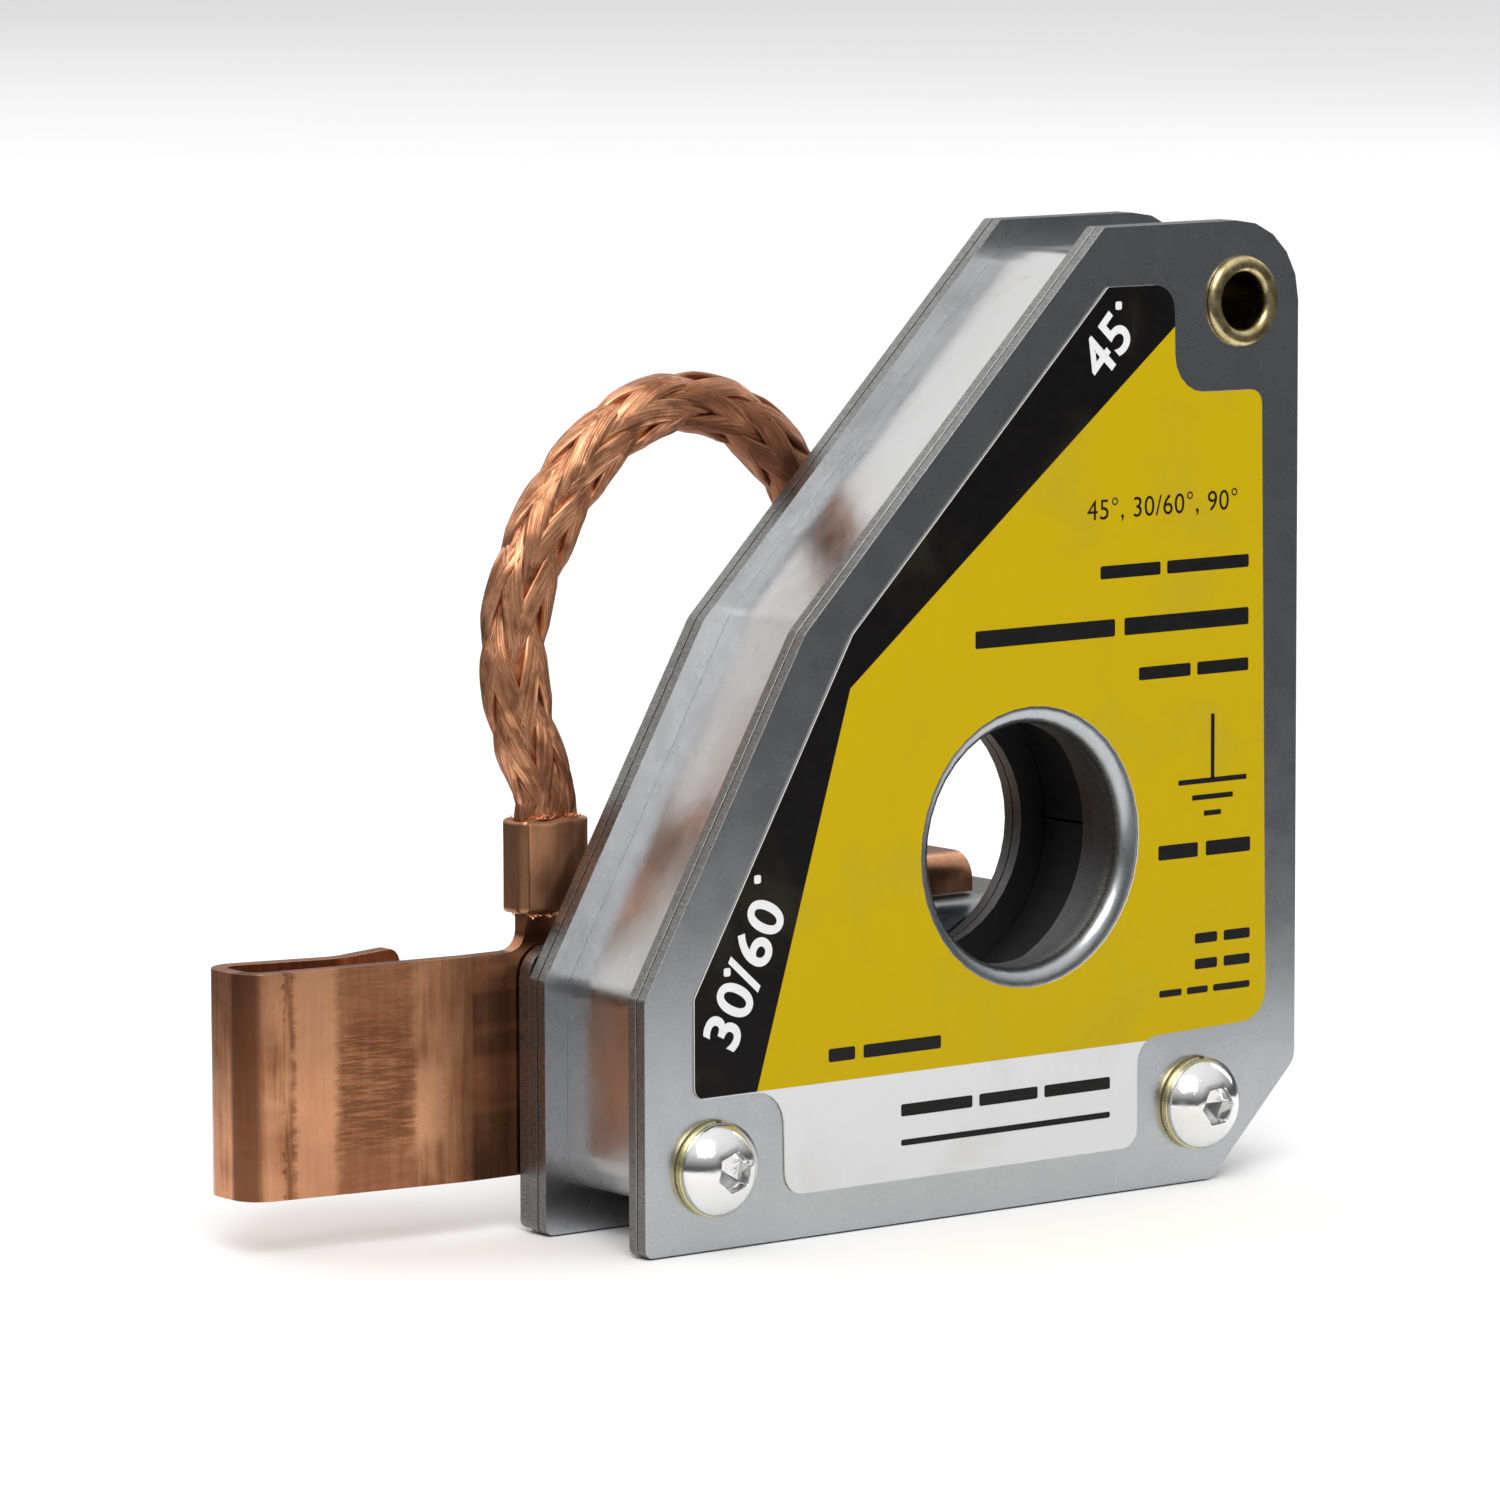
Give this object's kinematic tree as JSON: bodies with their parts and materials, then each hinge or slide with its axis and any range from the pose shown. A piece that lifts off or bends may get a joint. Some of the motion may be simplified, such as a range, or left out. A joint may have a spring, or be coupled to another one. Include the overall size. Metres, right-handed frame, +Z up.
{
  "type": "magnetic ground clamp",
  "caption": "Multi-angle magnetic welding square with a folded copper tab for a ground clamp, a copper braid and a sprung copper contact pad.",
  "frame": {"origin": "middle of the footprint at the base edges of the pole plates", "axes": "+X along the base from the copper tab to the square corner, +Y from the labelled front to the rear, +Z up"},
  "size_m": [0.1292, 0.044, 0.1111],
  "materials": {
    "zinc_plate": "zinc-plated pressed sheet, satin",
    "satin_band": "satin rolled strip",
    "ferrite": "matte dark ferrite",
    "brass_eyelet": "polished rolled brass",
    "label_print": "satin printed vinyl",
    "chrome_screw": "bright plated",
    "yellow_zinc": "yellow zinc plating",
    "zinc_fastener": "zinc plated",
    "copper_sheet": "bare copper, brushed and scuffed",
    "copper_braid": "braided bare copper strands",
    "copper_ferrule": "crimped bare copper, dull",
    "spring_steel": "bright drawn spring wire"
  },
  "bodies": {
    "root": {"front_outer_plate": "zinc_plate", "front_inner_plate": "zinc_plate", "rear_inner_plate": "zinc_plate", "rear_outer_plate": "zinc_plate", "spacer_band": "satin_band", "magnet_lower_left": "ferrite", "magnet_lower_right": "ferrite", "magnet_upper": "ferrite", "hanging_eyelet": "brass_eyelet", "front_label": "label_print", "left_screw": "chrome_screw", "right_screw": "chrome_screw", "left_lock_washer": "yellow_zinc", "right_lock_washer": "yellow_zinc", "left_rear_washer": "zinc_fastener", "right_rear_washer": "zinc_fastener", "left_nut": "zinc_fastener", "right_nut": "zinc_fastener", "left_spacer_sleeve": "zinc_fastener", "right_spacer_sleeve": "zinc_fastener", "rear_bracket": "zinc_plate", "clamp_tab": "copper_sheet", "tab_rivet_1": "copper_sheet", "tab_rivet_2": "copper_sheet", "tab_ferrule": "copper_ferrule", "copper_braid": "copper_braid", "left_pad_spring": "spring_steel", "right_pad_spring": "spring_steel"},
    "pad": {"contact_pad": "copper_sheet", "pad_ferrule": "copper_ferrule", "left_guide_pin": "chrome_screw", "right_guide_pin": "chrome_screw"}
  },
  "joints": [
    {"name": "pad_slide", "type": "slide", "parent": "root", "child": "pad", "axis": [0, 0, 1], "range_m": [0, 0.003], "stiffness_N_per_m": 900, "springref_m": -0.006, "deforming": ["left_pad_spring", "right_pad_spring", "copper_braid"]}
  ]
}
